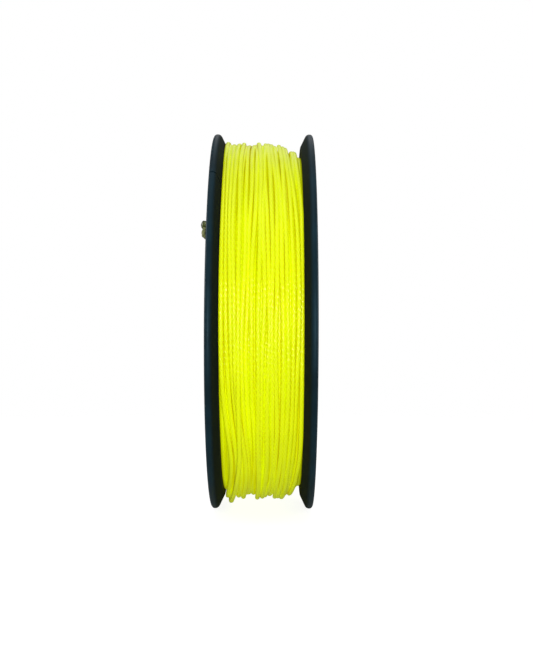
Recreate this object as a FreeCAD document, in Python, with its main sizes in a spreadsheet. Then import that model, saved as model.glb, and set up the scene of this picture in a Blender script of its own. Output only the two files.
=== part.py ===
"""A fishing line spool, wound full with braided line.

Two flanges snap onto the ends of a winding barrel, an arbor tube for the spindle sits between
their hubs, and the line's free end comes out through a slit in the left flange to a small knot.

The spool's axis is X and its middle is the origin, with +Z up. The left flange is at -X.
Lengths are in millimetres and angles in degrees.
"""

import FreeCAD, Part
import math
import os

import Sketcher
from FreeCAD import Placement, Rotation, Vector

SIZES = [
    ("flange_diameter", 70.0, "over the rims"),
    ("winding_width", 13.9, "between the flanges' inner faces"),
    ("rim_thickness", 2.2, "from a flange's inner face to the outer face of its rim"),
    ("rim_height", 1.7, "how far the thick rim reaches in from the edge, on the outer side"),
    ("rim_round", 0.55, "rounding of the rim's outer edge"),
    ("lip_depth", 2.3, "how far the bevel of the inner lip reaches in from the edge"),
    ("lip_set", 1.1, "how far the bevel leans away from the line"),
    ("lip_round", 0.8, "rounding of the lip's edge"),
    ("web_thickness", 1.2, "the disc between hub and rim"),
    ("boss_diameter", 18.0, "the raised hub on the outer side"),
    ("boss_round", 0.4, "rounding of the hub's edge"),
    ("bore_diameter", 10.0, "the hole for the spindle, through both hubs and the arbor tube"),
    ("arbor_wall", 1.5, "wall of the arbor tube"),
    ("seat_depth", 1.3, "how far the arbor tube sits in each hub"),
    ("fit_gap", 0.1, "clearance all round where one moulding goes into another"),
    ("barrel_diameter", 38.0, "outside of the winding barrel"),
    ("barrel_wall", 1.4, "wall of the winding barrel"),
    ("collar_wall", 1.2, "wall of the collar that goes into the barrel"),
    ("collar_length", 3.0, "how far the collar goes into the barrel"),
    ("snap_count", 3.0, "snap lugs on each collar, and windows at each end of the barrel"),
    ("snap_start", 0.6, "from the collar's tip to the lug"),
    ("snap_length", 1.1, "length of a lug along the axis"),
    ("snap_height", 0.6, "how far a lug stands out of the collar"),
    ("snap_spread", 16.0, "angle that a lug covers"),
    ("rib_count", 6.0, "stiffening ribs round each hub"),
    ("rib_width", 1.0, "width of a rib"),
    ("rib_height", 0.6, "how far a rib stands off the web"),
    ("rib_length", 6.0, "how far a rib runs out from the hub"),
    ("slit_angle", 45.5, "where the slit is, from -Y up towards +Z"),
    ("slit_width", 0.3, "width of the slit that grips the line"),
    ("slit_depth", 2.8, "from the rim's edge in to the slit's foot"),
    ("slit_knee", 0.9, "where the slit starts to curve, outwards from the inner face"),
    ("slit_bend", 1.0, "how far the slit curves to one side at the lip"),
    ("eyelet_gap", 0.1, "clearance round the line in the hole at the slit's foot"),
    ("label_gap", 1.5, "from the ribs' ends to the paper ring on each flange"),
    ("label_margin", 3.8, "from the paper ring to the rim"),
    ("label_thickness", 0.15, "paper and its glue"),
    ("tape_thickness", 0.12, "tape that holds the line's start on the barrel"),
    ("tape_width", 9.0, "width of that tape along the axis"),
    ("tape_spread", 40.0, "angle that the tape covers"),
    ("line_diameter", 0.75, "the braided line"),
    ("side_gap", 0.1, "between the wound line and each flange"),
    ("fill_left_drop", 1.5, "from the left rim's edge down to the wound line beside it"),
    ("fill_right_drop", 2.3, "from the right rim's edge down to the wound line beside it"),
    ("fill_round", 0.6, "how far the wound line's shoulders are cut back"),
    ("knot_swing", 17.5, "angle round the rim from the slit down to the knot"),
    ("knot_inset", 3.6, "from the rim's edge in to the knot's middle"),
    ("knot_length", 3.2, "the knot along the rim"),
    ("knot_depth", 2.2, "the knot along the radius"),
    ("knot_height", 1.7, "the knot along the axis"),
]

# Where the line's free end runs once it is outside the flange, on its way from the slit down to
# the knot: angles on from the slit, and how much nearer to the axis than the slit's foot.
# They are closer together beside the bend over the slit's edge.
TAIL_POINTS = [(2.4, 0.0), (5.8, 0.1), (10.6, 0.3), (15.5, 0.6)]

EMBED = 0.2  # how deep an added feature's foot starts inside what it stands on
OVERSHOOT = 1.0  # how far a cut runs on into the open
WINDOW_PLAY = 2.0  # how much wider than its lug a snap window is, as an angle

doc = FreeCAD.newDocument("LineSpool")


class Size:
    """A number from the sheet, or worked out from such numbers, with the expression that says how."""

    def __init__(self, value, text):
        self.value = value
        self.text = text

    @staticmethod
    def of(other):
        return other if isinstance(other, Size) else Size(float(other), repr(float(other)))

    def __add__(self, other):
        other = Size.of(other)
        return Size(self.value + other.value, f"({self.text} + {other.text})")

    def __sub__(self, other):
        other = Size.of(other)
        return Size(self.value - other.value, f"({self.text} - {other.text})")

    def __mul__(self, other):
        other = Size.of(other)
        return Size(self.value * other.value, f"({self.text} * {other.text})")

    def __truediv__(self, other):
        other = Size.of(other)
        return Size(self.value / other.value, f"({self.text} / {other.text})")

    def __neg__(self):
        return Size(-self.value, f"(-{self.text})")


def make_sheet():
    """Put the driving dimensions in a spreadsheet and return each one by its name."""
    sheet = doc.addObject("Spreadsheet::Sheet", "Sizes")
    for row, (name, value, note) in enumerate(SIZES, start=1):
        sheet.set(f"A{row}", name)
        sheet.set(f"B{row}", str(value))
        sheet.set(f"C{row}", note)
        sheet.setAlias(f"B{row}", name)
    doc.recompute()
    return {name: Size(float(sheet.get(name)), f"Sizes.{name}") for name, _, _ in SIZES}


size = make_sheet()

# Values that several pieces share.
ZERO = Size(0.0, "0.0")
flange_radius = size["flange_diameter"] / 2
bore_radius = size["bore_diameter"] / 2
boss_radius = size["boss_diameter"] / 2
rim_foot = flange_radius - size["rim_height"]
rib_reach = boss_radius + size["rib_length"]
slit_radius = flange_radius - size["slit_depth"]
arbor_radius = bore_radius + size["arbor_wall"]
seat_radius = arbor_radius + size["fit_gap"]
barrel_radius = size["barrel_diameter"] / 2
barrel_bore_radius = barrel_radius - size["barrel_wall"]
collar_radius = barrel_bore_radius - size["fit_gap"]
collar_bore_radius = collar_radius - size["collar_wall"]
half_winding = size["winding_width"] / 2
# A flange is modelled with its collar's tip at x = 0 and its outer side towards +X.
inner_face = size["collar_length"]
outer_face = inner_face + size["rim_thickness"]
web_face = inner_face + size["web_thickness"]


def bind(thing, path, value):
    """Tie one property of an object to an expression over the sheet."""
    thing.setExpression(path, value.text)


def make_body(label):
    body = doc.addObject("PartDesign::Body", label)
    body.Label = label
    return body


def origin_plane(body, role):
    return next(f for f in body.Origin.OriginFeatures if f.Role == role)


def make_sketch(body, name, role):
    """An empty sketch on one of the body's own origin planes."""
    sketch = body.newObject("Sketcher::SketchObject", name)
    sketch.AttachmentSupport = [(origin_plane(body, role), "")]
    sketch.MapMode = "FlatFace"
    return sketch


def pin(sketch, line, direction, place):
    """Fix the start of a line at a distance from the origin, along one of the sketch's axes."""
    if place.value == 0:
        axis = -2 if direction == "DistanceX" else -1
        sketch.addConstraint(Sketcher.Constraint("PointOnObject", line, 1, axis))
        return
    forward = place.value > 0
    ends = (-1, 1, line, 1) if forward else (line, 1, -1, 1)
    number = sketch.addConstraint(Sketcher.Constraint(direction, *ends, abs(place.value)))
    bind(sketch, f"Constraints[{number}]", place if forward else -place)


def add_outline(sketch, points):
    """Join the points, each a pair of sizes, into a closed outline of straight lines."""
    corners = [Vector(x.value, y.value, 0) for x, y in points]
    first = sketch.GeometryCount
    count = len(corners)
    for index, corner in enumerate(corners):
        sketch.addGeometry(Part.LineSegment(corner, corners[(index + 1) % count]))
    for index in range(count):
        following = first + (index + 1) % count
        sketch.addConstraint(Sketcher.Constraint("Coincident", first + index, 2, following, 1))
    for index, (x, y) in enumerate(points):
        pin(sketch, first + index, "DistanceX", x)
        pin(sketch, first + index, "DistanceY", y)


def rectangle(x_low, x_high, y_low, y_high):
    return [(x_low, y_low), (x_high, y_low), (x_high, y_high), (x_low, y_high)]


def add_circle(sketch, across, diameter):
    """A circle whose centre is on the sketch's horizontal axis, or at the origin."""
    middle = Vector(across.value, 0, 0)
    number = sketch.addGeometry(Part.Circle(middle, Vector(0, 0, 1), diameter.value / 2))
    if across.value == 0:
        sketch.addConstraint(Sketcher.Constraint("Coincident", number, 3, -1, 1))
    else:
        sketch.addConstraint(Sketcher.Constraint("PointOnObject", number, 3, -1))
        place = sketch.addConstraint(
            Sketcher.Constraint("DistanceX", -1, 1, number, 3, across.value)
        )
        bind(sketch, f"Constraints[{place}]", across)
    width = sketch.addConstraint(Sketcher.Constraint("Diameter", number, diameter.value))
    bind(sketch, f"Constraints[{width}]", diameter)


def turn(body, kind, name, outline, spread=None):
    """Turn an outline in the XY plane round the X axis, fully or over an angle about that plane."""
    sketch = make_sketch(body, f"{name}_outline", "XY_Plane")
    add_outline(sketch, outline)
    feature = body.newObject(kind, name)
    feature.Profile = sketch
    feature.ReferenceAxis = (sketch, ["H_Axis"])
    feature.Angle = 360.0
    if spread is not None:
        feature.Midplane = True
        bind(feature, "Angle", spread)
    doc.recompute()
    return feature


def repeat(body, feature, sketch, axis, count):
    """Repeat a feature evenly round the spool's axis."""
    pattern = body.newObject("PartDesign::PolarPattern", f"{feature.Name}_pattern")
    pattern.Originals = [feature]
    pattern.Axis = (sketch, [axis])
    pattern.Angle = 360.0
    pattern.Occurrences = int(count.value)
    bind(pattern, "Occurrences", count)
    body.Tip = pattern
    doc.recompute()


def circle_edges(shape, radius, x):
    """Names of the edges that are circles of this radius round the axis, at this x."""
    names = []
    for number, edge in enumerate(shape.Edges, start=1):
        curve = edge.Curve
        if not isinstance(curve, Part.Circle) or abs(curve.Radius - radius.value) > 1e-4:
            continue
        if abs(curve.Center.x - x.value) < 1e-4 and math.hypot(curve.Center.y, curve.Center.z) < 1e-4:
            names.append(f"Edge{number}")
    return names


def round_edges(body, name, radius, x, rounding):
    """Round the circular edge of one radius at one place along the axis."""
    base = body.Tip
    fillet = body.newObject("PartDesign::Fillet", name)
    fillet.Base = (base, circle_edges(base.Shape, radius, x))
    bind(fillet, "Radius", rounding)
    fillet.Radius = rounding.value
    doc.recompute()


def check_cut(body, before, what):
    """A pocket that points the wrong way removes nothing, so compare the volume."""
    if body.Shape.Volume > before - 1e-3:
        raise RuntimeError(f"{what} removed nothing from {body.Label}")


def put_on_axis(body, x, turned=False):
    """Place a body along the spool's axis; turned, it faces the other way, bottom up."""
    if turned:
        body.Placement = Placement(Vector(x.value, 0, 0), Rotation(Vector(0, 1, 0), 180))
    else:
        body.Placement = Placement(Vector(x.value, 0, 0), Rotation())
    bind(body, ".Placement.Base.x", x)


def make_flange(label):
    """A disc with a rounded rim, a bevelled inner lip, a hub, and a collar with snap lugs."""
    body = make_body(label)
    inner_bevel = flange_radius - size["lip_depth"]
    lip_x = inner_face + size["lip_set"]
    seat_floor = inner_face + size["seat_depth"]
    turn(body, "PartDesign::Revolution", f"{label}_disc", [
        (outer_face, bore_radius),
        (outer_face, boss_radius),
        (web_face, boss_radius),
        (web_face, rim_foot),
        (outer_face, rim_foot),
        (outer_face, flange_radius),
        (lip_x, flange_radius),
        (inner_face, inner_bevel),
        (inner_face, collar_radius),
        (ZERO, collar_radius),
        (ZERO, collar_bore_radius),
        (inner_face, collar_bore_radius),
        (inner_face, seat_radius),
        (seat_floor, seat_radius),
        (seat_floor, bore_radius),
    ])
    round_edges(body, f"{label}_rim_round", flange_radius, outer_face, size["rim_round"])
    round_edges(body, f"{label}_lip_round", flange_radius, lip_x, size["lip_round"])
    round_edges(body, f"{label}_boss_round", boss_radius, outer_face, size["boss_round"])
    add_ribs(body, label)
    add_snap_lugs(body, label)
    return body


def add_ribs(body, label):
    """Low ribs that run out from the hub on the flange's outer side."""
    overlap = size["boss_round"] + EMBED
    sketch = make_sketch(body, f"{label}_rib_outline", "YZ_Plane")
    bind(sketch, ".AttachmentOffset.Base.z", web_face)
    half_width = size["rib_width"] / 2
    add_outline(
        sketch,
        rectangle(boss_radius - overlap, rib_reach, -half_width, half_width),
    )
    rib = body.newObject("PartDesign::Pad", f"{label}_rib")
    rib.Profile = sketch
    bind(rib, "Length", size["rib_height"])
    doc.recompute()
    repeat(body, rib, sketch, "N_Axis", size["rib_count"])


def add_snap_lugs(body, label):
    """Wedges on the collar, steep on the flange's side, that catch in the barrel's windows."""
    root = collar_radius - EMBED
    lug_end = size["snap_start"] + size["snap_length"]
    lug = turn(body, "PartDesign::Revolution", f"{label}_lug", [
        (size["snap_start"], root),
        (lug_end, root),
        (lug_end, collar_radius + size["snap_height"]),
    ], size["snap_spread"])
    repeat(body, lug, lug.Profile[0], "H_Axis", size["snap_count"])


def tilt_sketch(sketch, axis, angle, height):
    """Turn a sketch about one of its axes through the origin, then lift it off its plane."""
    lift = Rotation(axis, angle.value).multVec(Vector(0, 0, height.value))
    sketch.AttachmentOffset = Placement(lift, Rotation(axis, angle.value))


def add_slit(body):
    """The slit that grips the line: straight over the rim, curved at the lip, with an eyelet.

    The body is placed bottom up, so an angle from -Y towards +Z is drawn here half a turn on.
    """
    half_slit = size["slit_width"] / 2
    past_rim = outer_face + OVERSHOOT
    knee = inner_face + size["slit_knee"]
    bend = size["slit_bend"]

    before = body.Shape.Volume
    sketch = make_sketch(body, "slit_outline", "XY_Plane")
    tilt_sketch(sketch, Vector(1, 0, 0), size["slit_angle"] + 90, slit_radius)
    add_outline(sketch, [
        (past_rim, -half_slit),
        (past_rim, half_slit),
        (knee, half_slit),
        (inner_face, bend + half_slit),
        (inner_face - OVERSHOOT, bend + half_slit),
        (inner_face - OVERSHOOT, bend - half_slit),
        (inner_face, bend - half_slit),
        (knee, -half_slit),
    ])
    slit = body.newObject("PartDesign::Pocket", "slit")
    slit.Profile = sketch
    slit.Reversed = True
    slit.Refine = False
    bind(slit, "Length", size["slit_depth"] + OVERSHOOT)
    doc.recompute()
    check_cut(body, before, "the slit")

    before = body.Shape.Volume
    sketch = make_sketch(body, "eyelet_outline", "YZ_Plane")
    tilt_sketch(sketch, Vector(0, 0, 1), size["slit_angle"] + 180, ZERO)
    add_circle(sketch, slit_radius, size["line_diameter"] + size["eyelet_gap"] * 2)
    eyelet = body.newObject("PartDesign::Pocket", "eyelet")
    eyelet.Profile = sketch
    eyelet.Type = "ThroughAll"
    eyelet.Reversed = True
    eyelet.Refine = False
    doc.recompute()
    check_cut(body, before, "the eyelet")


def make_barrel():
    """The tube that the line is wound on, with a ring of snap windows at each end."""
    body = make_body("winding_barrel")
    length = size["winding_width"]
    turn(
        body, "PartDesign::Revolution", "barrel_tube",
        rectangle(ZERO, length, barrel_bore_radius, barrel_radius),
    )
    # A window is larger than the lug in it by the fit's clearance on every side.
    window_end = size["collar_length"] - size["snap_start"] + size["fit_gap"]
    window_start = window_end - size["snap_length"] - size["fit_gap"] * 2
    window_floor = barrel_bore_radius - EMBED
    window_top = collar_radius + size["snap_height"] + size["fit_gap"]
    spread = size["snap_spread"] + WINDOW_PLAY
    for name, low, high in (
        ("left_window", window_start, window_end),
        ("right_window", length - window_end, length - window_start),
    ):
        before = body.Shape.Volume
        window = turn(
            body, "PartDesign::Groove", name,
            rectangle(low, high, window_floor, window_top), spread,
        )
        check_cut(body, before, name)
        repeat(body, window, window.Profile[0], "H_Axis", size["snap_count"])
    put_on_axis(body, -half_winding)
    return body


def make_arbor_tube():
    """The tube that the spindle turns in, seated in both hubs."""
    body = make_body("arbor_tube")
    length = size["winding_width"] + size["seat_depth"] * 2
    turn(
        body, "PartDesign::Revolution", "arbor_wall",
        rectangle(ZERO, length, bore_radius, arbor_radius),
    )
    put_on_axis(body, -half_winding - size["seat_depth"])
    return body


def make_label(label, x):
    """A plain paper ring, glued into the recess of a flange."""
    body = make_body(label)
    sketch = make_sketch(body, f"{label}_outline", "YZ_Plane")
    add_circle(sketch, ZERO, (rim_foot - size["label_margin"]) * 2)
    add_circle(sketch, ZERO, (rib_reach + size["label_gap"]) * 2)
    ring = body.newObject("PartDesign::Pad", f"{label}_ring")
    ring.Profile = sketch
    bind(ring, "Length", size["label_thickness"])
    put_on_axis(body, x)
    doc.recompute()
    return body


def make_start_tape():
    """A strip of tape round part of the barrel, over the line's first end."""
    body = make_body("start_tape")
    tape_radius = barrel_radius + size["tape_thickness"]
    turn(
        body, "PartDesign::Revolution", "tape_strip",
        rectangle(ZERO, size["tape_width"], barrel_radius, tape_radius), size["tape_spread"],
    )
    put_on_axis(body, half_winding - size["side_gap"] - size["tape_width"])
    return body


def make_line_winding():
    """The outer shape of all the turns of line: a thick ring, a little fuller on the left."""
    body = make_body("line_winding")
    width = size["winding_width"] - size["side_gap"] * 2
    left = flange_radius - size["fill_left_drop"]
    right = flange_radius - size["fill_right_drop"]
    foot = barrel_radius + size["tape_thickness"]
    shoulder = size["fill_round"]
    turn(body, "PartDesign::Revolution", "winding_ring", [
        (ZERO, foot),
        (width, foot),
        (width, right - shoulder),
        (width - shoulder, right),
        (shoulder, left),
        (ZERO, left - shoulder),
    ])
    put_on_axis(body, -half_winding + size["side_gap"])
    return body


def around(angle, radius, x):
    """The point at an angle from -Y up towards +Z, at a radius from the axis."""
    a = math.radians(angle)
    return Vector(x, -radius * math.cos(a), radius * math.sin(a))


def tail_route():
    """Out of the winding's side, through the eyelet, and down the flange to the knot."""
    coil_side = half_winding.value - size["side_gap"].value
    outside = half_winding.value + size["web_thickness"].value
    along_flange = outside + size["line_diameter"].value / 2 + size["side_gap"].value
    slit = size["slit_angle"].value
    radius = slit_radius.value
    route = [around(slit, radius, -coil_side), around(slit, radius, -along_flange)]
    for swing, nearer in TAIL_POINTS:
        route.append(around(slit - swing, radius - nearer, -along_flange))
    return route


def rounded_path(route):
    """Straight runs joined by tangent arcs, each as large as its two runs allow."""
    edges = []
    start = route[0]
    for before, corner, after in zip(route, route[1:], route[2:]):
        back = (before - corner).normalize()
        ahead = (after - corner).normalize()
        half_turn = (math.pi - back.getAngle(ahead)) / 2
        shorter = min(before.distanceToPoint(corner), after.distanceToPoint(corner))
        trim = 0.45 * shorter
        radius = trim / math.tan(half_turn)
        print(f"line_tail bend radius {radius:.2f}")
        bisector = (back + ahead).normalize()
        centre = corner + bisector * (radius / math.cos(half_turn))
        middle = centre - bisector * radius
        arc_start = corner + back * trim
        arc_end = corner + ahead * trim
        edges.append(Part.LineSegment(start, arc_start).toShape())
        edges.append(Part.Arc(arc_start, middle, arc_end).toShape())
        start = arc_end
    edges.append(Part.LineSegment(start, route[-1]).toShape())
    return Part.Wire(edges)


def make_line_tail():
    """The line's free end, as a plain round tube."""
    path = rounded_path(tail_route())
    start = path.Vertexes[0].Point
    direction = path.Edges[0].tangentAt(path.Edges[0].FirstParameter)
    line_radius = size["line_diameter"].value / 2
    section = Part.Wire([Part.Circle(start, direction, line_radius).toShape()])
    tube = path.makePipeShell([section], True, False)
    expected = math.pi * line_radius**2 * path.Length
    if abs(tube.Volume - expected) > 0.02 * expected:
        raise RuntimeError(f"line_tail holds {tube.Volume:.2f}, not {expected:.2f}")
    print(f"line_tail is {path.Length:.1f} mm long")
    tail = doc.addObject("Part::Feature", "line_tail")
    tail.Label = "line_tail"
    tail.Shape = tube
    tail.Placement = Placement()
    return tail


def make_end_knot(tail):
    """The space that the knot in the line's end takes up, with the line let into it."""
    knot = doc.addObject("Part::Ellipsoid", "knot_body")
    bind(knot, "Radius1", size["knot_height"] / 2)
    bind(knot, "Radius2", size["knot_depth"] / 2)
    bind(knot, "Radius3", size["knot_length"] / 2)
    foot = half_winding.value + size["web_thickness"].value + size["side_gap"].value
    x = -foot - size["knot_height"].value / 2
    angle = size["slit_angle"].value - size["knot_swing"].value
    radius = flange_radius.value - size["knot_inset"].value
    # The ellipsoid's own Z turns to the spool's axis, its X to the radius, its Y along the rim.
    a = math.radians(angle)
    outward = Vector(0, -math.cos(a), math.sin(a))
    axis = Vector(-1, 0, 0)
    knot.Placement = Placement(
        around(angle, radius, x), Rotation(outward, axis.cross(outward), axis)
    )
    cut = doc.addObject("Part::Cut", "end_knot")
    cut.Label = "end_knot"
    cut.Base = knot
    cut.Tool = tail
    return cut


def build():
    left_flange = make_flange("left_flange")
    add_slit(left_flange)
    put_on_axis(left_flange, -half_winding + inner_face, turned=True)
    right_flange = make_flange("right_flange")
    put_on_axis(right_flange, half_winding - inner_face)
    label_face = half_winding + size["web_thickness"]
    tail = make_line_tail()
    pieces = [
        left_flange,
        right_flange,
        make_barrel(),
        make_arbor_tube(),
        make_label("left_label", -label_face - size["label_thickness"]),
        make_label("right_label", label_face),
        make_start_tape(),
        make_line_winding(),
        tail,
        make_end_knot(tail),
    ]
    doc.recompute()
    return pieces


def check_document(pieces):
    """Stop if anything in the document failed, or a piece isn't one sound solid."""
    for thing in doc.Objects:
        if any(word in thing.State for word in ("Invalid", "Error")):
            raise RuntimeError(f"{thing.Label} is {thing.State}")
    for piece in pieces:
        shape = piece.Shape
        if shape.isNull() or not shape.isValid() or len(shape.Solids) != 1:
            raise RuntimeError(f"{piece.Label} isn't one valid solid")


pieces = build()
check_document(pieces)
os.makedirs("parts", exist_ok=True)
for piece in pieces:
    piece.Shape.exportStep(f"parts/{piece.Label}.step")
    print(piece.Label, round(piece.Shape.Volume, 1), "cubic mm")
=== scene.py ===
"""A small spool of braided fishing line: black moulded flanges and barrel, about fifty metres of
fluorescent yellow braid wound on it, and the line's knotted end held in a slit of the left rim."""

import math

import bpy
import numpy as np
from mathutils import Matrix, Vector


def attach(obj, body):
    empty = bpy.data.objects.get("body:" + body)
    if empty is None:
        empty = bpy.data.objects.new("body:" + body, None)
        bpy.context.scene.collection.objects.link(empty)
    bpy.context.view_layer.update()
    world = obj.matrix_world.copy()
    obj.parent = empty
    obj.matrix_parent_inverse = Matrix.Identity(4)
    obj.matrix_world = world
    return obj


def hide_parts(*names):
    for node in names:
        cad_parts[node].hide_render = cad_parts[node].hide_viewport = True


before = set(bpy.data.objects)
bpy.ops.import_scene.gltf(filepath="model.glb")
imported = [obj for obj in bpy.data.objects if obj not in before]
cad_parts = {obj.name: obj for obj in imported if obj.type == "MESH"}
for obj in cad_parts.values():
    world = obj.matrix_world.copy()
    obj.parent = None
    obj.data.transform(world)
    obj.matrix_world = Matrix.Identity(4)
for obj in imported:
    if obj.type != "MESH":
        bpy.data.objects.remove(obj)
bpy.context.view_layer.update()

MM = 0.001

# Sizes of the CAD model that the line is laid to, in mm
FLANGE_FACE = 6.95          # the flanges' inner faces, either side of the spool's middle
LIP_START = 32.7            # radius at which the inner edge of a flange starts to slope outwards
LIP_SLOPE = 1.1 / 2.3       # how far the sloping lip leaves the inner face, per mm of radius
BARREL_RADIUS = 19.0
TAPE_THICKNESS = 0.12
LINE_DIAMETER = 0.75
SLIT_ANGLE = math.radians(45.5)     # above the side that faces the camera, over the top
EYELET_RADIUS = 32.2


# ---------------------------------------------------------------- camera

CAMERA_PLACE = Vector((1.77, -209.95, 0.0)) * MM
CAMERA_AIM = Vector((-0.00561, 0.99731, 0.07312))
CAMERA_ROLL = math.radians(0.205)
CAMERA_LENS = 59.46
CAMERA_SHIFT = -0.142       # the spool stands low in the lens's full view


def make_camera():
    """The camera stands level with the spool's axis and looks square at its edge."""
    data = bpy.data.cameras.new("camera")
    data.lens = CAMERA_LENS
    data.sensor_width = 36.0
    data.shift_y = CAMERA_SHIFT
    data.clip_start = 0.01
    data.clip_end = 20.0
    camera = bpy.data.objects.new("camera", data)
    bpy.context.collection.objects.link(camera)
    turn = CAMERA_AIM.to_track_quat("-Z", "Y").to_matrix().to_4x4()
    camera.matrix_world = Matrix.Translation(CAMERA_PLACE) @ turn @ Matrix.Rotation(CAMERA_ROLL, 4, "Z")
    bpy.context.scene.camera = camera


make_camera()


# ---------------------------------------------------------------- meshes

def link_mesh(name, points, faces, smooth=True):
    """A mesh object from points in mm and faces, each face a row of point numbers."""
    mesh = bpy.data.meshes.new(name)
    mesh.from_pydata((np.asarray(points) * MM).tolist(), [], faces)
    mesh.shade_smooth() if smooth else mesh.shade_flat()
    mesh.update()
    piece = bpy.data.objects.new(name, mesh)
    bpy.context.collection.objects.link(piece)
    return piece


def read_spline(points, steps):
    """Points along a NURBS spline whose control points are given, in mm: steps of them per span."""
    curve = bpy.data.curves.new("line_route", "CURVE")
    curve.dimensions = "3D"
    curve.resolution_u = steps
    spline = curve.splines.new("NURBS")
    spline.points.add(len(points) - 1)
    spline.points.foreach_set("co", np.hstack([points * MM, np.ones((len(points), 1))]).ravel())
    spline.order_u = 3
    spline.use_endpoint_u = True
    holder = bpy.data.objects.new("line_route", curve)
    mesh = bpy.data.meshes.new_from_object(holder)
    found = np.empty(len(mesh.vertices) * 3)
    mesh.vertices.foreach_get("co", found)
    bpy.data.objects.remove(holder)
    bpy.data.curves.remove(curve)
    bpy.data.meshes.remove(mesh)
    return found.reshape(-1, 3) / MM


# ---------------------------------------------------------------- the line's route

STATIONS = 36               # points per turn
PITCH = 0.770               # sideways travel of the traverse guide per turn
FULL_LAYERS = 17
GUIDE_SWING = 6.70          # the guide's reach either side of the middle
LAST_TURN_BACK = 6.5        # its reach at the right flange before the topmost layer
SETTLE = 0.30               # how far a turn slides aside to lie lower
SETTLE_COST = 0.45
REACH_BACK = 64             # earlier turns that a new turn can touch
FLANGE_CLEARANCE = 0.02     # between the line and the flange it is laid against
LAY_SEED = 5                # of the line's unevenness
TRIED_SHIFTS = 9            # places that a turn tries on its way aside
LEAN_MEMORY = 6             # stations over which a turn takes up the place of the one before
LEAN_PASSES = 6             # smoothings of its sideways place
TAUT_PASSES = 4             # smoothings of its height
WANDER_INSIDE = 0.13        # unevenness of the guide in the buried layers
WANDER_OUTSIDE = 0.07       # and in the last turns
KNOTS_PER_TURN = 3
LAST_TURNS = 50
TOP_TURNS = 22              # turns in the topmost layer
START_PLACE = 13            # stations past the slit's angle at which the line starts, on its tape
# the last turns: turns after the last full layer and the guide's place then
LAST_RUN = [(3.88, -3.9), (3.995, -6.4), (4.06, -6.8), (4.66, -6.8)]
# The line shifts as it is handled. Each pair is where a shift starts and where it is whole.
UPPER_LAYERS = (29.0, 32.0)         # radii: the layers above are the ones that shift
BELOW_TOPMOST = (31.0, 31.8)        # radii: the layer under the topmost draws in too
BESIDE_FLANGE = (6.0, 6.35)         # mm from the middle: beside a flange it no longer does
DRAW_BELOW = 0.6                    # how much of the topmost layer's draw it takes
LAST_TURN_FREE = (0.65, 1.0)        # turns from the end: before them the last turn draws in as well
CROSSING_TURN = 0.9                 # turns from the end over which the last turn crosses the others
DRAW_START, DRAW_SPREAD = 2.0, 9.0              # mm past the middle, and mm on from there
RIGHT_SWELL_START, RIGHT_SWELL_SPREAD = 2.0, 4.0
LEFT_SWELL_START, LEFT_SWELL_SPREAD = 3.0, 3.0
RIGHT_SWELL_ASIDE, RIGHT_SWELL_OUT = 0.55, 0.40         # mm towards the lip and mm outwards
LEFT_SWELL_ASIDE, LEFT_SWELL_OUT = 0.03, 0.30
CROWN_START = (-4.6, -3.2)          # mm across: where the crown rises on the left
CROWN_END = (4.2, 6.8)              # and where it falls on the right
CALM_EDGE = 7.2                     # mm from the middle: the sideways ripples die out towards it
# bell curves of the angle are given as a size in mm, its middle and its width in degrees
LAST_RUN_LEAN = (0.85, -62, 34)             # the last turns lean in from the left flange
LEFT_DRAW = (1.6, -48, 20)                  # the topmost layer draws in from the left flange
RIGHT_DRAWS = [(2.4, 80, 40), (2.0, -84, 32)]       # and from the right one
RIGHT_SWELL = (1.0, 0, 60)                  # where the upper layers press up against the right lip
LEFT_SWELL = (1.0, 40, 45)                  # and against the left one
CROSSING = (0.35, -54, 22)                  # the last turn stands proud where it crosses the others
CROWN = 0.62                # how much higher the middle is than the left side
CROWN_DIP = (0.8, -78, 45)  # share of the crown that is missing near the floor
RIGHT_FALL = 0.45           # how much lower the right side is than the middle
OWN_WANDER = 0.05           # each turn's own unevenness
# ripples that neighbouring turns share: mm, waves per turn, radians per mm across, and start
SIDE_RIPPLES = [(0.20, 2, 0.8, 1.0), (0.13, 5, -1.3, 2.0), (0.09, 9, 2.6, 0.0), (0.12, 3, 2.1, 0.5)]
HEIGHT_RIPPLES = [(0.10, 2, 3.5, 0.0), (0.05, -3, 5.9, 0.0)]


def guide_track():
    """Sideways place of the traverse guide at every station: it runs from flange to flange at an even
    pitch, comes back a few turns from the left flange, then slants over those to end beside it."""
    layers_left = FULL_LAYERS - np.arange(FULL_LAYERS + 1)
    ends = np.where(layers_left % 2 == 0, -GUIDE_SWING, GUIDE_SWING)
    ends[-2] = LAST_TURN_BACK
    turns = np.concatenate([[0.0], np.cumsum(np.abs(np.diff(ends))) / PITCH])
    turns = np.concatenate([turns, turns[-1] + np.array([turn for turn, x in LAST_RUN])])
    ends = np.concatenate([ends, [x for turn, x in LAST_RUN]])
    count = int(turns[-1] * STATIONS)
    count -= (count - START_PLACE) % STATIONS
    return np.interp(turns[-1] - np.arange(count, 0, -1) / STATIONS, turns, ends)


def bell(angle, shape):
    """A bell curve of the angle round the spool, on the nearer way round: its size, its middle and its
    width in degrees."""
    size, middle, width = shape
    off = (np.degrees(angle) - middle + 180) % 360 - 180
    return size * np.exp(-(off / width) ** 2)


def ripples(angle, x, waves):
    """The sum of sine waves that run round the spool and across it."""
    return sum(size * np.sin(turns * angle + across * x + start) for size, turns, across, start in waves)


def slow_noise(count, rng):
    """Smooth random unevenness: a uniform cubic B-spline through random knots, three to a turn."""
    place = np.arange(count) / STATIONS * KNOTS_PER_TURN
    first = place.astype(int)
    part = place - first
    knots = rng.normal(size=first[-1] + 4)
    weights = np.stack([
        (1 - part) ** 3,
        3 * part ** 3 - 6 * part ** 2 + 4,
        -3 * part ** 3 + 3 * part ** 2 + 3 * part + 1,
        part ** 3,
    ]) / 6
    return (weights * knots[first + np.arange(4)[:, None]]).sum(0)


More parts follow.
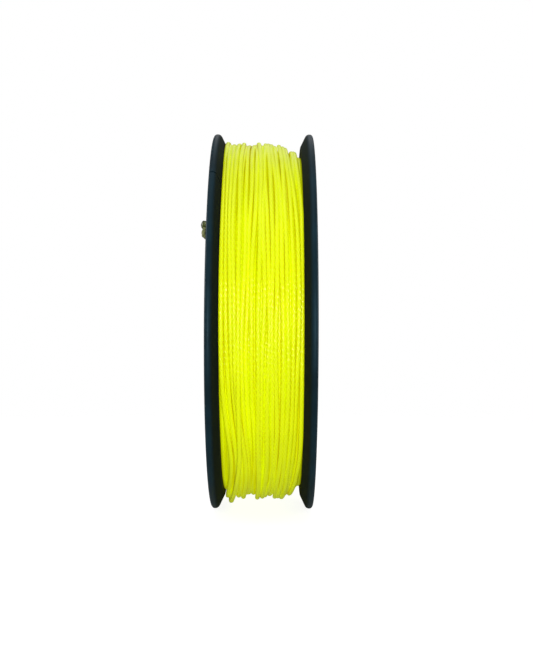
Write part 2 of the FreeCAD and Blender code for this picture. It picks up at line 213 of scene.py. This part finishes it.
def rest_height(x, below_x, below_r, core):
    """Centre radius at which a round line at x rests on the earlier turns: the highest of their
    centres plus the upright side of a triangle whose long side is one diameter."""
    aside = np.abs(x - below_x)
    up = np.sqrt(np.maximum(LINE_DIAMETER ** 2 - aside ** 2, 0))
    return np.maximum(np.where(aside < LINE_DIAMETER, below_r + up, 0).max(0), core)


def reach(height):
    """How far sideways the line's centre may lie at a radius: against the flange's flat face, and
    higher up against its sloping lip."""
    slope_gain = LIP_SLOPE * (height - LIP_START) - LINE_DIAMETER / 2 * (math.hypot(1, LIP_SLOPE) - 1)
    return FLANGE_FACE - LINE_DIAMETER / 2 - FLANGE_CLEARANCE + np.maximum(slope_gain, 0)


def rise(value, low, high):
    """A smooth step from 0 at low to 1 at high."""
    part = np.clip((value - low) / (high - low), 0, 1)
    return part * part * (3 - 2 * part)


def loosen(angle, to_go, x, height, rng):
    """How the wound line lies once it has been handled: smooth sideways and outward shifts that take
    neighbouring turns along. The upper layers crown in the middle and spread at the flanges, the topmost
    layer draws in from the flanges here and there, and all the visible turns wander a little."""
    upper = rise(height, *UPPER_LAYERS)
    topmost = np.clip(TOP_TURNS + 0.5 - to_go, 0, 1)
    # the very last turn has its own way to the slit
    drawn = topmost * rise(to_go, *LAST_TURN_FREE)
    # below it, the turns right beside the flanges stay and the others draw in too, which leaves grooves
    below = (1 - topmost) * rise(height, *BELOW_TOPMOST) * (1 - rise(np.abs(x), *BESIDE_FLANGE))
    left_draw = bell(angle, LEFT_DRAW) * np.clip((DRAW_START - x) / DRAW_SPREAD, 0, 1)
    right_share = np.clip((x + DRAW_START) / DRAW_SPREAD, 0, 1)
    right_draw = sum(bell(angle, draw) for draw in RIGHT_DRAWS) * right_share
    by_right = bell(angle, RIGHT_SWELL) * np.clip((x - RIGHT_SWELL_START) / RIGHT_SWELL_SPREAD, 0, 1)
    by_left = bell(angle, LEFT_SWELL) * np.clip((-x - LEFT_SWELL_START) / LEFT_SWELL_SPREAD, 0, 1)
    calm = 1 - (x / CALM_EDGE) ** 2
    swell_aside = RIGHT_SWELL_ASIDE * by_right - LEFT_SWELL_ASIDE * by_left
    aside = upper * (swell_aside + calm * ripples(angle, x, SIDE_RIPPLES))
    aside += (drawn + DRAW_BELOW * below) * (left_draw - right_draw)
    crown = CROWN * rise(x, *CROWN_START) * (1 - bell(angle, CROWN_DIP)) - RIGHT_FALL * rise(x, *CROWN_END)
    folds = ripples(angle, x, HEIGHT_RIPPLES)
    out = upper * (RIGHT_SWELL_OUT * by_right + LEFT_SWELL_OUT * by_left + crown + folds)
    out += bell(angle, CROSSING) * (to_go < CROSSING_TURN)
    height = height + out
    clear = reach(height)
    own = OWN_WANDER * slow_noise(len(x), rng)
    return np.clip(x + aside + upper * own, -clear, clear), height


def wind_line():
    """Lay the line turn by turn. Each turn follows the guide, slides a little aside where that lets it
    lie lower, rests on what is below it, and bridges hollows because it is taut.
    Returns angle, sideways place and radius of every station."""
    guide = guide_track()
    rng = np.random.default_rng(LAY_SEED)
    total = len(guide)
    # the line ends at the slit, and its angle falls towards there
    to_go = (total - np.arange(total)) / STATIONS
    angle = SLIT_ANGLE + to_go * 2 * math.pi
    late = np.clip(2 - to_go / LAST_TURNS, 0, 1)
    wander = WANDER_INSIDE + (WANDER_OUTSIDE - WANDER_INSIDE) * late
    guide = guide + wander * slow_noise(total, rng)
    guide += bell(angle, LAST_RUN_LEAN) * (to_go < LAST_RUN[-1][0])
    turns = math.ceil(total / STATIONS)
    spare = np.full(turns * STATIONS - total, guide[-1])
    padded = np.concatenate([guide, spare]).reshape(turns, STATIONS)
    core = BARREL_RADIUS + TAPE_THICKNESS + LINE_DIAMETER / 2
    xs = np.zeros((turns, STATIONS))
    rs = np.full((turns, STATIONS), core)
    shifts = np.linspace(-SETTLE, SETTLE, TRIED_SHIFTS)[:, None]
    xs[0] = np.clip(padded[0], -reach(core), reach(core))
    for turn in range(1, turns):
        low = max(0, turn - REACH_BACK)
        below_x = xs[low:turn]
        below_r = rs[low:turn]
        clear = reach(rs[turn - 1])
        tried = np.clip(padded[turn] + shifts, -clear, clear)
        heights = rest_height(tried[None], below_x[:, None], below_r[:, None], core)
        cheapest = (heights + SETTLE_COST * np.abs(shifts)).argmin(0)
        best = np.take_along_axis(tried, cheapest[None], 0)[0]
        before = xs[turn - 1, -LEAN_MEMORY:]
        run = np.concatenate([before, best, best[-1:]])
        for _ in range(LEAN_PASSES):
            run[1:-1] = (run[:-2] + 2 * run[1:-1] + run[2:]) / 4
            run[:LEAN_MEMORY] = before
        xs[turn] = np.clip(run[LEAN_MEMORY:-1], -clear, clear)
        rest = rest_height(xs[turn][None], below_x, below_r, core)
        floor = np.concatenate([rs[turn - 1, -3:], rest, np.repeat(rest[-1:], 3)])
        taut = floor.copy()
        for _ in range(TAUT_PASSES):
            taut[1:-1] = np.maximum(floor[1:-1], (taut[:-2] + 2 * taut[1:-1] + taut[2:]) / 4)
        rs[turn] = taut[3:-3]
    return angle, *loosen(angle, to_go, xs.ravel()[:total], rs.ravel()[:total], rng)


# where the tail runs: degrees past the slit, and mm nearer the axis than the slit's foot
TAIL_RUN = [(2.4, 0.0), (5.8, 0.1), (10.6, 0.3), (15.5, 0.6)]
TAIL_SIDE = 8.625           # the tail's distance from the spool's middle, in the flange's recess
SINK_SWEEP = math.radians(40)


def around(theta, distance, x):
    """Points at an angle round the spool's axis, from the camera's side over the top."""
    theta, distance, x = np.broadcast_arrays(theta, distance, x)
    return np.stack([x, -distance * np.cos(theta), distance * np.sin(theta)], -1)


def line_route():
    """Control points of the whole line: the winding, then down beside the flange to the slit's foot,
    out through it, and along the flange's outside to the knot."""
    theta, x, distance = wind_line()
    sink = np.clip(1 - (theta - SLIT_ANGLE) / SINK_SWEEP, 0, 1)
    sink = sink * sink * (3 - 2 * sink)
    distance = distance + (EYELET_RADIUS - distance) * sink
    # a quadratic spline cuts inside a ring of control points by the cosine of half their spacing
    winding = around(theta, distance / math.cos(math.pi / STATIONS), x)
    outside = [(0.0, 0.0)] + TAIL_RUN
    swing = SLIT_ANGLE - np.radians([swing for swing, nearer in outside])
    tail = around(swing, EYELET_RADIUS - np.array([nearer for swing, nearer in outside]), -TAIL_SIDE)
    in_slit = around(SLIT_ANGLE, EYELET_RADIUS, np.array([-FLANGE_FACE]))
    return np.concatenate([winding, in_slit, tail])


# ---------------------------------------------------------------- the line's tube

READ_STEPS = 3              # points read from the spline per station
FINE_TURNS = 42             # turns near the outside, where the line shows
FINE_SIDES = 10
COARSE_SIDES = 5
FLATNESS = 1.09             # the braid is pressed a little flat where it is wound


def rings(path, sides, diameter, flatness=1.0):
    """Rings round a path: each point of the path plus half a diameter in every direction square to it.
    The first direction of a ring points away from the spool's axis. A flatness over 1 widens the ring
    sideways and lowers it as much."""
    along = np.gradient(path, axis=0)
    along /= np.linalg.norm(along, axis=1)[:, None]
    outward = path * [0, 1, 1]
    outward -= along * (outward * along).sum(1)[:, None]
    outward /= np.linalg.norm(outward, axis=1)[:, None]
    sideways = np.cross(along, outward)
    turn = np.arange(sides) / sides * 2 * math.pi
    up, aside = np.cos(turn)[:, None] * (2 - flatness), np.sin(turn)[:, None] * flatness
    return path[:, None] + (outward[:, None] * up + sideways[:, None] * aside) * diameter / 2


def grid_faces(rows, sides, first):
    """Faces between rings, and for each corner its share of the way round and its ring's number."""
    row, side = np.meshgrid(np.arange(rows - 1), np.arange(sides), indexing="ij")
    row, side = row.ravel(), side.ravel()
    after = (side + 1) % sides
    corners = [(row, side, side), (row, after, side + 1), (row + 1, after, side + 1), (row + 1, side, side)]
    faces = np.stack([first + r * sides + s for r, s, shown in corners], -1)
    places = np.stack([np.stack([shown / sides, first * 0 + r], -1) for r, s, shown in corners], 1)
    return faces, places


def set_uv(piece, places):
    """The piece's UV map: one place per face corner, in the faces' order."""
    layer = piece.data.uv_layers.new(name="UVMap")
    layer.data.foreach_set("uv", places.astype(np.float32).ravel())


def make_tube(name, path, sides, diameter):
    """A closed tube along a path; its UV map runs once round it and in mm along it."""
    length = np.concatenate([[0], np.cumsum(np.linalg.norm(np.diff(path, axis=0), axis=1))])
    points = rings(path, sides, diameter).reshape(-1, 3)
    faces, places = grid_faces(len(path), sides, 0)
    places[..., 1] = length[places[..., 1].astype(int)]
    caps = [list(range(sides))[::-1], list(range(len(points) - sides, len(points)))]
    piece = link_mesh(name, points, faces.tolist() + caps)
    cap_places = np.zeros((2 * sides, 2))
    cap_places[sides:, 1] = length[-1]
    set_uv(piece, np.concatenate([places.reshape(-1, 2), cap_places]))
    return piece


def make_line():
    """The whole line as one tube. Its buried turns have few sides, which double in number where the
    line starts to show."""
    path = read_spline(line_route(), READ_STEPS)
    fine_from = len(path) - FINE_TURNS * STATIONS * READ_STEPS
    fine_from -= fine_from % READ_STEPS
    kept = np.concatenate([np.arange(0, fine_from, READ_STEPS), np.arange(fine_from, len(path))])
    path = path[kept]
    split = fine_from // READ_STEPS
    length = np.concatenate([[0], np.cumsum(np.linalg.norm(np.diff(path, axis=0), axis=1))])
    coarse = rings(path, COARSE_SIDES, LINE_DIAMETER, FLATNESS)[:split].reshape(-1, 3)
    fine = rings(path, FINE_SIDES, LINE_DIAMETER, FLATNESS)[split:].reshape(-1, 3)
    coarse_faces, coarse_places = grid_faces(split, COARSE_SIDES, 0)
    fine_faces, fine_places = grid_faces(len(path) - split, FINE_SIDES, len(coarse))
    coarse_places[..., 1] = length[coarse_places[..., 1].astype(int)]
    fine_places[..., 1] = length[split + fine_places[..., 1].astype(int)]
    # where the sides double, each coarse side meets two fine ones: a triangle, then a four-sided face
    side = np.arange(COARSE_SIDES)
    last = len(coarse) - COARSE_SIDES
    a, b = last + side, last + (side + 1) % COARSE_SIDES
    c, d, e = (len(coarse) + (2 * side + k) % FINE_SIDES for k in range(3))
    around_a, around_b, around_d = ((side + share) / COARSE_SIDES for share in (0, 1, 0.5))
    before, after = np.full(COARSE_SIDES, length[split - 1]), np.full(COARSE_SIDES, length[split])
    thirds = np.stack([a, d, c], -1)
    third_places = np.stack([
        np.stack([around_a, before], -1),
        np.stack([around_d, after], -1),
        np.stack([around_a, after], -1),
    ], 1)
    fourths = np.stack([a, b, e, d], -1)
    fourth_places = np.stack([
        np.stack([around_a, before], -1),
        np.stack([around_b, before], -1),
        np.stack([around_b, after], -1),
        np.stack([around_d, after], -1),
    ], 1)
    total = len(coarse) + len(fine)
    caps = [list(range(COARSE_SIDES))[::-1], list(range(total - FINE_SIDES, total))]
    cap_places = np.zeros((COARSE_SIDES + FINE_SIDES, 2))
    cap_places[COARSE_SIDES:, 1] = length[-1]
    faces = coarse_faces.tolist() + fine_faces.tolist() + thirds.tolist() + fourths.tolist() + caps
    places = [coarse_places, fine_places, third_places, fourth_places, cap_places]
    line = link_mesh("line", np.concatenate([coarse, fine]), faces)
    set_uv(line, np.concatenate([p.reshape(-1, 2) for p in places]))
    return line, path


line, line_path = make_line()


# ---------------------------------------------------------------- the knot

KNOT_SWING = math.radians(18.0)      # past the slit
KNOT_RADIUS = 31.4
KNOT_SIDE = 9.35
KNOT_LINE = 0.66                    # the line squeezed in the tight knot
KNOT_STEPS = 26
KNOT_READ_STEPS = 6
KNOT_SIDES = 12
KNOT_OPEN = 0.22                    # where the trefoil opens, in radians
KNOT_SCALE = (0.5, 0.22, 0.36)      # mm per unit of the trefoil, along the rim, along the radius, outwards
TIP_UP = 1.3                        # the bead sits at the knot's upper end
TIP_IN = 0.1
TIP_OUT = 0.25
TIP_SIZES = [0.6, 0.75, 0.7]        # half sizes across, along the rim and along the radius


def make_knot():
    """A tight overhand knot: a trefoil, x = sin t + 2 sin 2t, y = cos t - 2 cos 2t, z = -sin 3t, opened
    where its ends lead out, squeezed into the flange's recess."""
    t = np.linspace(KNOT_OPEN, 2 * math.pi - KNOT_OPEN, KNOT_STEPS)
    along = np.sin(t) + 2 * np.sin(2 * t)
    aside = np.cos(t) - 2 * np.cos(2 * t)
    high = -np.sin(3 * t)
    rim_scale, radius_scale, side_scale = KNOT_SCALE
    theta = SLIT_ANGLE - KNOT_SWING + along * rim_scale / KNOT_RADIUS
    control = around(theta, KNOT_RADIUS + aside * radius_scale, -KNOT_SIDE + high * side_scale)
    path = read_spline(control, KNOT_READ_STEPS)
    return make_tube("end_knot_turns", path, KNOT_SIDES, KNOT_LINE)


knot = make_knot()


def make_bead(name, centre, sizes):
    """A melted bead: a sphere on a grid of latitude and longitude, its three half sizes given, with a
    few low lumps; its poles lie along the rim."""
    rows, sides = 18, 24
    lat = np.linspace(0, math.pi, rows)[1:-1, None]
    lon = np.arange(sides) / sides * 2 * math.pi
    lump = 1 + 0.06 * np.sin(3 * lon + 2 * lat) + 0.05 * np.cos(2 * lon - 5 * lat)
    unit = np.stack([
        np.sin(lat) * np.cos(lon) * lump,
        np.cos(lat) * np.ones_like(lon) * lump,
        np.sin(lat) * np.sin(lon) * lump,
    ], -1).reshape(-1, 3)
    poles = np.array([[0, 1, 0], [0, -1, 0]])
    points = np.concatenate([unit, poles]) * sizes
    faces, places = grid_faces(rows - 2, sides, 0)
    last = len(unit)
    side = np.arange(sides)
    near_pole = np.stack([np.full(sides, last), (side + 1) % sides, side], -1)
    far_row = (rows - 3) * sides
    far_pole = np.stack([np.full(sides, last + 1), far_row + side, far_row + (side + 1) % sides], -1)
    lean = SLIT_ANGLE - KNOT_SWING
    outward = np.array([0, -math.cos(lean), math.sin(lean)])
    rim = np.array([0, math.sin(lean), math.cos(lean)])
    frame_axes = np.stack([[1, 0, 0], rim, outward])
    faces = faces.tolist() + near_pole.tolist() + far_pole.tolist()
    return link_mesh(name, points @ frame_axes + centre, faces)


tip_angle = SLIT_ANGLE - KNOT_SWING + TIP_UP / KNOT_RADIUS
tip_centre = around(tip_angle, KNOT_RADIUS - TIP_IN, -KNOT_SIDE - TIP_OUT)
sealed_tip = make_bead("sealed_tip", tip_centre, TIP_SIZES)


# ---------------------------------------------------------------- materials

def colour(code):
    """An sRGB hex code as linear colour."""
    parts = [int(code[k:k + 2], 16) / 255 for k in (1, 3, 5)]
    return [p / 12.92 if p <= 0.04045 else ((p + 0.055) / 1.055) ** 2.4 for p in parts] + [1.0]


def add(tree, kind, inputs=(), **settings):
    """Add a node with its settings; an input that is a socket is linked, any other is a value."""
    node = tree.nodes.new(kind)
    for name, value in settings.items():
        setattr(node, name, value)
    for socket, value in dict(inputs).items():
        if isinstance(value, bpy.types.NodeSocket):
            tree.links.new(value, node.inputs[socket])
        else:
            node.inputs[socket].default_value = value
    return node


def new_material(name):
    """An empty material with its output; returns it and its node tree."""
    material = bpy.data.materials.new(name)
    material.use_nodes = True
    material.node_tree.nodes.clear()
    return material, material.node_tree


def ramp(tree, fac, stops):
    """A colour ramp with its stops as place and hex code or grey value."""
    node = add(tree, "ShaderNodeValToRGB", {"Fac": fac})
    elements = node.color_ramp.elements
    while len(elements) < len(stops):
        elements.new(0.5)
    for element, (place, value) in zip(elements, stops):
        element.position = place
        element.color = colour(value) if isinstance(value, str) else [value, value, value, 1.0]
    return node.outputs["Color"]


CARRIERS = 4                # strands of the braid that run each way round
PLAIT = 1.0                 # mm along the line from one strand's crossing to the next


def make_braid(name, light, deep, crease, glow):
    """Fluorescent braided polyethylene, eight strands, lightly waxed: each strand shows as a short
    slanting ridge that dives under the next, shiny on top. Painted shade makes it deeper yellow in the
    creases and down the sides of each turn. The colour is also emitted, a painted glow that stands for the
    dye's fluorescence and keeps the line bright in shade. Light and deep are the dye's colours, crease is
    the colour of the painted shade in the creases, and glow is the strength of the painted glow."""
    material, tree = new_material(name)
    position = add(tree, "ShaderNodeTexCoord")
    uv = add(tree, "ShaderNodeUVMap", uv_map="UVMap")
    place = add(tree, "ShaderNodeSeparateXYZ", {0: uv.outputs["UV"]})
    round_it = add(tree, "ShaderNodeMath", {0: place.outputs["X"], 1: math.pi * CARRIERS},
                   operation="MULTIPLY")
    along = add(tree, "ShaderNodeMath", {0: place.outputs["Y"], 1: math.pi / PLAIT},
                operation="MULTIPLY")
    left = add(tree, "ShaderNodeMath", {0: round_it.outputs[0], 1: along.outputs[0]}, operation="ADD")
    right = add(tree, "ShaderNodeMath", {0: round_it.outputs[0], 1: along.outputs[0]}, operation="SUBTRACT")
    left_sine = add(tree, "ShaderNodeMath", {0: left.outputs[0]}, operation="SINE")
    right_sine = add(tree, "ShaderNodeMath", {0: right.outputs[0]}, operation="SINE")
    over = add(tree, "ShaderNodeMath", {0: left_sine.outputs[0], 1: right_sine.outputs[0]},
               operation="MULTIPLY")
    left_on_top = add(tree, "ShaderNodeMapRange", {
        "Value": over.outputs[0], "From Min": -0.2, "From Max": 0.2,
    }, interpolation_type="SMOOTHSTEP")
    left_ridge = add(tree, "ShaderNodeMath", {0: left_sine.outputs[0]}, operation="ABSOLUTE")
    right_ridge = add(tree, "ShaderNodeMath", {0: right_sine.outputs[0]}, operation="ABSOLUTE")
    height = add(tree, "ShaderNodeMix", {
        "Factor": left_on_top.outputs["Result"], "A": right_ridge.outputs[0], "B": left_ridge.outputs[0],
    })
    # dye takes a little unevenly from one stretch to the next
    dye = add(tree, "ShaderNodeTexNoise", {
        "Vector": position.outputs["Object"], "Scale": 1 / (9 * MM), "Detail": 2.0, "Roughness": 0.5,
    })
    yellow = ramp(tree, dye.outputs["Fac"], [(0.3, deep), (0.7, light)])
    # painted shade: the braid's creases between strands are darkened towards the crease colour
    shade = ramp(tree, height.outputs[0], [(0.05, crease), (0.45, "#ffffff")])
    # painted shade: beside its neighbours each turn is darkened to a deep orange-yellow, for the shade
    # between turns
    facing = add(tree, "ShaderNodeMath", {0: place.outputs["X"], 1: 2 * math.pi}, operation="MULTIPLY")
    outward = add(tree, "ShaderNodeMath", {0: facing.outputs[0]}, operation="COSINE")
    painted_gap_shade = ramp(tree, outward.outputs[0], [(0.15, "#c48400"), (0.60, "#ffffff")])
    # the painted shade between turns is strong in some long streaks that run round the spool and faint in
    # others
    streaks = add(tree, "ShaderNodeMapping", {
        "Vector": position.outputs["Object"], "Scale": (1 / (1.3 * MM), 1 / (26 * MM), 1 / (26 * MM)),
    })
    gap_shade_noise = add(tree, "ShaderNodeTexNoise", {"Vector": streaks.outputs[0], "Scale": 1.0, "Detail": 1.0})
    gap_shade_strength = ramp(tree, gap_shade_noise.outputs["Fac"], [(0.36, 0.15), (0.60, 1.0)])
    body = add(tree, "ShaderNodeMix", {"Factor": gap_shade_strength, "A": yellow, "B": painted_gap_shade},
               data_type="RGBA", blend_type="MULTIPLY")
    base = add(tree, "ShaderNodeMix", {"Factor": 1.0, "A": body.outputs["Result"], "B": shade},
               data_type="RGBA", blend_type="MULTIPLY")
    bump = add(tree, "ShaderNodeBump", {"Height": height.outputs[0], "Distance": 0.06 * MM, "Strength": 1.0})
    shader = add(tree, "ShaderNodeBsdfPrincipled", {
        "Base Color": base.outputs["Result"],
        "Roughness": 0.25,
        "IOR": 1.52,
        "Specular IOR Level": 0.7,
        "Specular Tint": colour("#fffcb0"),
        "Normal": bump.outputs["Normal"],
        # painted glow: the base colour, its painted shade included, is also emitted, standing for the dye's
        # fluorescence
        "Emission Color": base.outputs["Result"],
        "Emission Strength": glow,
    })
    add(tree, "ShaderNodeOutputMaterial", {"Surface": shader.outputs[0]})
    return material


def make_plastic():
    """Black polystyrene, injection moulded and handled: a fine satin grain with a cool cast, a little
    dust-dulled in patches."""
    material, tree = new_material("moulded_polystyrene_black")
    position = add(tree, "ShaderNodeTexCoord")
    grain = add(tree, "ShaderNodeTexNoise", {
        "Vector": position.outputs["Object"], "Scale": 1 / (0.35 * MM), "Detail": 3.0, "Roughness": 0.6,
    })
    patches = add(tree, "ShaderNodeTexNoise", {
        "Vector": position.outputs["Object"], "Scale": 1 / (7 * MM), "Detail": 3.0, "Roughness": 0.55,
    })
    outer = ramp(tree, patches.outputs["Fac"], [(0.3, "#0d1e25"), (0.7, "#132c36")])
    handled = ramp(tree, patches.outputs["Fac"], [(0.3, 0.42), (0.7, 0.52)])
    # the faces towards the line are left matt by the mould and are never handled; their darker colour is
    # painted shade, for the narrow gap between the flange and the winding
    parts = add(tree, "ShaderNodeSeparateXYZ", {0: position.outputs["Object"]})
    side = add(tree, "ShaderNodeMath", {0: parts.outputs["X"]}, operation="ABSOLUTE")
    painted_shade_and_matt_inside = add(tree, "ShaderNodeMapRange", {
        "Value": side.outputs[0], "From Min": 8.3 * MM, "From Max": 7.8 * MM,
    })
    base = add(tree, "ShaderNodeMix", {
        "Factor": painted_shade_and_matt_inside.outputs["Result"], "A": outer, "B": colour("#050a0c"),
    }, data_type="RGBA").outputs["Result"]
    rough = add(tree, "ShaderNodeMix", {
        "Factor": painted_shade_and_matt_inside.outputs["Result"], "A": handled, "B": 0.85,
    }).outputs[0]
    bump = add(tree, "ShaderNodeBump", {
        "Height": grain.outputs["Fac"], "Distance": 0.015 * MM, "Strength": 0.6,
    })
    shader = add(tree, "ShaderNodeBsdfPrincipled", {
        "Base Color": base,
        "Roughness": rough,
        "IOR": 1.5,
        "Specular IOR Level": 0.25,
        "Specular Tint": colour("#a8d4e8"),
        "Normal": bump.outputs["Normal"],
    })
    add(tree, "ShaderNodeOutputMaterial", {"Surface": shader.outputs[0]})
    return material


def make_paper():
    """Uncoated label paper: off-white, matt, with faint fibres."""
    material, tree = new_material("label_paper_white")
    position = add(tree, "ShaderNodeTexCoord")
    fibres = add(tree, "ShaderNodeTexNoise", {
        "Vector": position.outputs["Object"], "Scale": 1 / (0.6 * MM), "Detail": 5.0, "Roughness": 0.7,
    })
    base = ramp(tree, fibres.outputs["Fac"], [(0.3, "#e2e0d8"), (0.7, "#efede6")])
    bump = add(tree, "ShaderNodeBump", {
        "Height": fibres.outputs["Fac"], "Distance": 0.02 * MM, "Strength": 0.5,
    })
    shader = add(tree, "ShaderNodeBsdfPrincipled", {
        "Base Color": base, "Roughness": 0.75, "IOR": 1.45, "Normal": bump.outputs["Normal"],
    })
    add(tree, "ShaderNodeOutputMaterial", {"Surface": shader.outputs[0]})
    return material


def make_tape():
    """Clear adhesive tape over black plastic: smooth, glossy, slightly yellowed."""
    material, tree = new_material("adhesive_tape_clear")
    position = add(tree, "ShaderNodeTexCoord")
    wrinkle = add(tree, "ShaderNodeTexNoise", {
        "Vector": position.outputs["Object"], "Scale": 1 / (3 * MM), "Detail": 2.0,
    })
    base = ramp(tree, wrinkle.outputs["Fac"], [(0.3, "#8d8a72"), (0.7, "#a09c82")])
    bump = add(tree, "ShaderNodeBump", {
        "Height": wrinkle.outputs["Fac"], "Distance": 0.05 * MM, "Strength": 0.4,
    })
    shader = add(tree, "ShaderNodeBsdfPrincipled", {
        "Base Color": base, "Roughness": 0.15, "IOR": 1.47, "Normal": bump.outputs["Normal"],
    })
    add(tree, "ShaderNodeOutputMaterial", {"Surface": shader.outputs[0]})
    return material


def make_melted():
    """The braid's polyethylene melted to a bead: olive, glassy, darker where it has scorched."""
    material, tree = new_material("melted_polyethylene_olive")
    position = add(tree, "ShaderNodeTexCoord")
    scorch = add(tree, "ShaderNodeTexNoise", {
        "Vector": position.outputs["Object"], "Scale": 1 / (0.9 * MM), "Detail": 3.0,
    })
    base = ramp(tree, scorch.outputs["Fac"], [(0.35, "#12160a"), (0.65, "#4c5622")])
    bump = add(tree, "ShaderNodeBump", {
        "Height": scorch.outputs["Fac"], "Distance": 0.05 * MM, "Strength": 0.5,
    })
    shader = add(tree, "ShaderNodeBsdfPrincipled", {
        "Base Color": base, "Roughness": 0.22, "IOR": 1.52, "Normal": bump.outputs["Normal"],
    })
    add(tree, "ShaderNodeOutputMaterial", {"Surface": shader.outputs[0]})
    return material


def finish_piece(piece, material):
    """Give a piece its one material and its body."""
    piece.data.materials.clear()
    piece.data.materials.append(material)
    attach(piece, "root")


braid = make_braid("braided_polyethylene_yellow", "#e6f700", "#deef00", "#f2dc00", 0.26)
# painted shade: the tight knot is the same braid coloured dark olive and grey-green in place of its yellow,
# standing for the line in shade, and it does not glow
knot_braid_in_painted_shade = make_braid("braided_polyethylene_painted_shade", "#b4bd86", "#343c14", "#1e220a", 0.0)
plastic = make_plastic()
paper = make_paper()
tape = make_tape()
melted = make_melted()

NODE_FINISHES = {
    "left_flange": plastic,
    "right_flange": plastic,
    "winding_barrel": plastic,
    "arbor_tube": plastic,
    "left_label": paper,
    "right_label": paper,
    "start_tape": tape,
}
for name, material in NODE_FINISHES.items():
    for material_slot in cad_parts[name].material_slots:
        material_slot.material = material

finish_piece(line, braid)
finish_piece(knot, knot_braid_in_painted_shade)
finish_piece(sealed_tip, melted)
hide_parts("line_winding", "line_tail")
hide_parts("end_knot")


# ---------------------------------------------------------------- floor, light

FLOOR = -35.0


def make_floor():
    """A flat sheet of white paper under the spool, which fades into the white room around it."""
    side = 600.0
    corners = np.array([[-1, -1], [1, -1], [1, 1], [-1, 1]]) * side
    floor = link_mesh("floor", np.hstack([corners, np.full((4, 1), FLOOR)]), [[0, 1, 2, 3]], smooth=False)
    material, tree = new_material("floor_paper")
    position = add(tree, "ShaderNodeTexCoord")
    fibres = add(tree, "ShaderNodeTexNoise", {"Vector": position.outputs["Object"], "Scale": 1 / (2 * MM)})
    base = ramp(tree, fibres.outputs["Fac"], [(0.3, "#989898"), (0.7, "#9e9e9e")])
    seen = add(tree, "ShaderNodeLightPath")
    # the paper is lit from below, mostly for the lens, so that the spool's underside stays in shade
    lit = add(tree, "ShaderNodeMath", {0: seen.outputs["Is Camera Ray"], 1: 0.82, 2: 0.08},
              operation="MULTIPLY_ADD")
    paper = add(tree, "ShaderNodeBsdfPrincipled", {
        "Base Color": base,
        "Roughness": 0.9,
        "Specular IOR Level": 0.1,
        "Emission Color": colour("#ffffff"),
        "Emission Strength": lit.outputs[0],
    })
    away = add(tree, "ShaderNodeVectorMath", {0: position.outputs["Object"]}, operation="LENGTH")
    fade = add(tree, "ShaderNodeMapRange", {
        "Value": away.outputs["Value"], "From Min": 60 * MM, "From Max": 220 * MM,
    }, interpolation_type="SMOOTHSTEP")
    room = add(tree, "ShaderNodeBsdfTransparent")
    mixed = add(tree, "ShaderNodeMixShader", {
        0: fade.outputs["Result"], 1: paper.outputs[0], 2: room.outputs[0],
    })
    add(tree, "ShaderNodeOutputMaterial", {"Surface": mixed.outputs[0]})
    floor.data.materials.append(material)


def add_light(name, place, side, power):
    """A soft square light, aimed at the spool's middle."""
    data = bpy.data.lights.new(name, "AREA")
    data.shape = "SQUARE"
    data.size = side * MM
    data.energy = power
    light = bpy.data.objects.new(name, data)
    bpy.context.collection.objects.link(light)
    place = Vector(place) * MM
    light.matrix_world = Matrix.Translation(place) @ (-place).to_track_quat("-Z", "Y").to_matrix().to_4x4()


def make_world():
    """A white room: the lens sees it evenly white, and its light falls mostly from above."""
    world = bpy.data.worlds.new("studio")
    world.use_nodes = True
    tree = world.node_tree
    tree.nodes.clear()
    direction = add(tree, "ShaderNodeTexCoord")
    parts = add(tree, "ShaderNodeSeparateXYZ", {0: direction.outputs["Generated"]})
    overhead = add(tree, "ShaderNodeMapRange", {
        "Value": parts.outputs["Z"], "From Min": -1.0, "From Max": 1.0, "To Min": 0.10, "To Max": 0.34,
    })
    seen = add(tree, "ShaderNodeLightPath")
    strength = add(tree, "ShaderNodeMix", {
        "Factor": seen.outputs["Is Camera Ray"], "A": overhead.outputs["Result"], "B": 1.0,
    })
    ground = add(tree, "ShaderNodeBackground", {"Color": colour("#ffffff"), "Strength": strength.outputs[0]})
    add(tree, "ShaderNodeOutputWorld", {"Surface": ground.outputs[0]})
    bpy.context.scene.world = world


# each light's place, its side and its power in watts
SOFTBOXES = {
    "front_softbox": ((15, -420, -24), 40, 0.92),
    "top_softbox": ((-60, -160, 420), 400, 0.52),
    "left_softbox": ((-420, 80, 60), 300, 0.9),
    "right_softbox": ((420, 80, 60), 300, 0.9),
    "back_softbox": ((0, 320, 330), 300, 0.15),
}

make_floor()
make_world()
for name, (place, side, power) in SOFTBOXES.items():
    add_light(name, place, side, power)
bpy.context.scene.view_settings.view_transform = "Standard"
